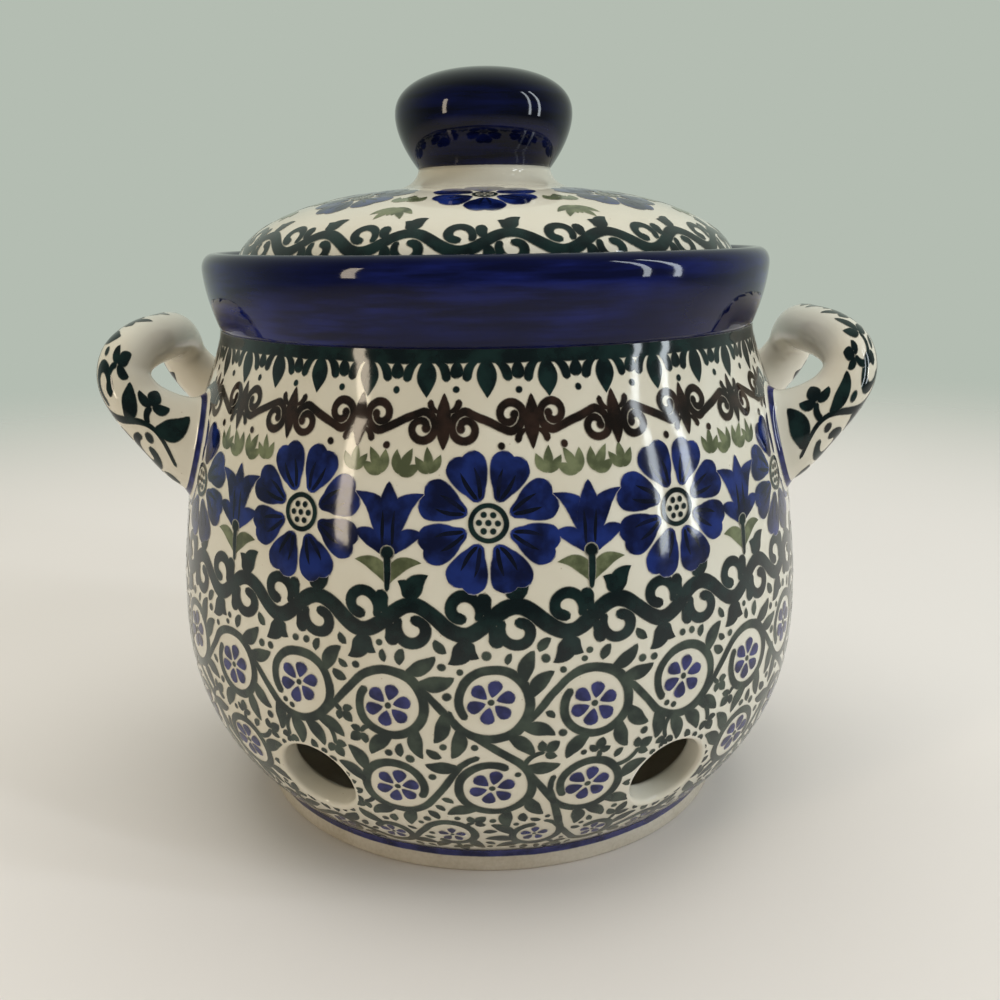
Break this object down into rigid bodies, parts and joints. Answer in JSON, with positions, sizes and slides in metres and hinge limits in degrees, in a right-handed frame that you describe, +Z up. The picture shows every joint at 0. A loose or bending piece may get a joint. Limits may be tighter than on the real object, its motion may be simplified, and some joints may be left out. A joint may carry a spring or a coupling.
{
  "type": "garlic keeper",
  "caption": "Round-bellied glazed stoneware garlic keeper with air vents low in its wall, a flared collar, loop handles at its sides and a loose domed lid with a knob.",
  "frame": {"origin": "centre of the circle that the foot ring stands on", "axes": "+Z up, +X towards the right handle, -Y towards the front"},
  "size_m": [0.1498, 0.13, 0.1459],
  "materials": {
    "cream_glaze": "gloss",
    "cobalt_glaze": "gloss",
    "bare_clay": "matt"
  },
  "bodies": {
    "jar": {"foot_ring": "bare_clay", "jar_body": "cream_glaze", "rim_collar": "cobalt_glaze", "right_handle": "cream_glaze", "left_handle": "cream_glaze"},
    "lid": {"lid_dome": "cream_glaze", "lid_flange": "cream_glaze", "lid_knob": "cobalt_glaze"}
  },
  "joints": [
    {"name": "lid_lift", "type": "slide", "parent": "jar", "child": "lid", "axis": [0, 0, 1], "range_m": [0, 0.08]}
  ]
}
